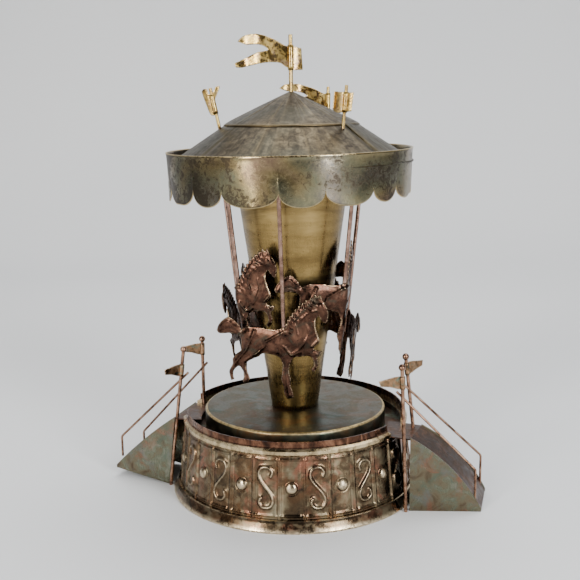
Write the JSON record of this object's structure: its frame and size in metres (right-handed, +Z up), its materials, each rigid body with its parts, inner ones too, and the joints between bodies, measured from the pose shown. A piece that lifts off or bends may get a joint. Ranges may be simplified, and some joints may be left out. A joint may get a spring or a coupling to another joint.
{
  "type": "carousel music box",
  "caption": "Wind-up musical carousel of brass and copper sheet: drum base with two ramps, scalloped canopy on a tapered column, horses on leaning rods, flags, key-wound movement inside.",
  "frame": {"origin": "centre of the foot ring, on the surface the box stands on", "axes": "+Z up along the carousel's axis; -Y is the front, with the near posts of both ramps; +X to the right"},
  "size_m": [0.1945, 0.1284, 0.2323],
  "materials": {
    "drum_brass": "embossed sheet, brown and grey-green patina with bright worn edges",
    "rim_copper": "rolled sheet, red-brown mottled patina, worn bright on the bead",
    "deck_copper": "dark oxidised sheet",
    "movement_brass": "turned and milled, lightly tarnished",
    "ramp_deck_copper": "dark brown oxidised sheet",
    "ramp_side_copper": "flame-coloured sheet, pink, green and silver",
    "wire_copper": "drawn wire, pinkish copper",
    "pennant_copper": "thin sheet, mottled",
    "movement_steel": "ground steel",
    "fan_aluminium": "satin",
    "disc_bronze": "flame-darkened sheet, teal and brown, bright worn edge",
    "column_brass": "smooth brushed antique brass",
    "roof_bronze": "dull dark bronze with radial streaks",
    "skirt_brass": "polished sheet with dark mottled patina",
    "flag_brass": "thin sheet, gold mottled brown",
    "horse_copper": "stamped sheet, red-brown patina with worn edges",
    "rod_copper": "drawn wire, pinkish brown"
  },
  "bodies": {
    "base": {"foot_ring": "drum_brass", "drum_wall": "drum_brass", "rim_ring": "rim_copper", "deck_plate": "deck_copper", "deck_bush": "movement_brass", "bedplate": "movement_brass", "cylinder_brackets": "movement_brass", "governor_bracket": "movement_brass", "comb_base": "movement_brass", "bedplate_pillars": "movement_brass", "right_ramp_deck": "ramp_deck_copper", "left_ramp_deck": "ramp_deck_copper", "right_ramp_front_side": "ramp_side_copper", "right_ramp_back_side": "ramp_side_copper", "left_ramp_front_side": "ramp_side_copper", "left_ramp_back_side": "ramp_side_copper", "right_front_post": "wire_copper", "right_back_post": "wire_copper", "left_front_post": "wire_copper", "left_back_post": "wire_copper", "right_front_handrail": "wire_copper", "right_back_handrail": "wire_copper", "left_front_handrail": "wire_copper", "left_back_handrail": "wire_copper", "post_finials": "wire_copper", "post_pennants": "pennant_copper", "pillar_screws": "movement_steel", "comb": "movement_steel", "comb_screws": "movement_steel"},
    "carousel": {"spring_barrel": "movement_brass", "drive_shaft": "movement_steel", "mainspring": "movement_steel", "turntable_disc": "disc_bronze", "center_column": "column_brass", "roof_cone": "roof_bronze", "roof_cap": "roof_bronze", "canopy_skirt": "skirt_brass", "flagpole": "flag_brass", "top_flag": "flag_brass", "roof_flag_left": "flag_brass", "roof_flag_right": "flag_brass", "roof_flag_back": "flag_brass", "roof_flag_poles": "flag_brass", "horse_front": "horse_copper", "horse_front_right": "horse_copper", "horse_back_right": "horse_copper", "horse_back": "horse_copper", "horse_back_left": "horse_copper", "horse_front_left": "horse_copper", "horse_rods": "rod_copper"},
    "winding_key": {"winding_arbor": "movement_steel", "winding_key": "movement_steel"},
    "cylinder": {"cylinder_arbor": "movement_steel", "music_cylinder": "movement_brass", "cylinder_wheel": "movement_brass"},
    "intermediate": {"intermediate_arbor": "movement_steel", "intermediate_wheel": "movement_brass"},
    "governor": {"governor_arbor": "movement_steel", "governor_fan": "fan_aluminium"}
  },
  "joints": [
    {"name": "carousel_spin", "type": "hinge", "parent": "base", "child": "carousel", "pos_m": [0, 0, 0.04], "axis": [0, 0, 1], "continuous": true},
    {"name": "winding_key_turn", "type": "hinge", "parent": "base", "child": "winding_key", "pos_m": [0, 0, 0.008], "axis": [0, 0, 1], "continuous": true},
    {"name": "cylinder_spin", "type": "hinge", "parent": "base", "child": "cylinder", "pos_m": [0.03, 0, 0.021], "axis": [1, 0, 0], "continuous": true},
    {"name": "intermediate_spin", "type": "hinge", "parent": "base", "child": "intermediate", "pos_m": [0.04, 0.01, 0.021], "axis": [1, 0, 0], "continuous": true},
    {"name": "governor_spin", "type": "hinge", "parent": "base", "child": "governor", "pos_m": [0.04, 0.01875, 0.021], "axis": [1, 0, 0], "continuous": true}
  ],
  "couplings": [
    {"joint": "cylinder_spin", "follows": "carousel_spin", "ratio": 4},
    {"joint": "intermediate_spin", "follows": "carousel_spin", "ratio": -16},
    {"joint": "governor_spin", "follows": "carousel_spin", "ratio": 64}
  ]
}
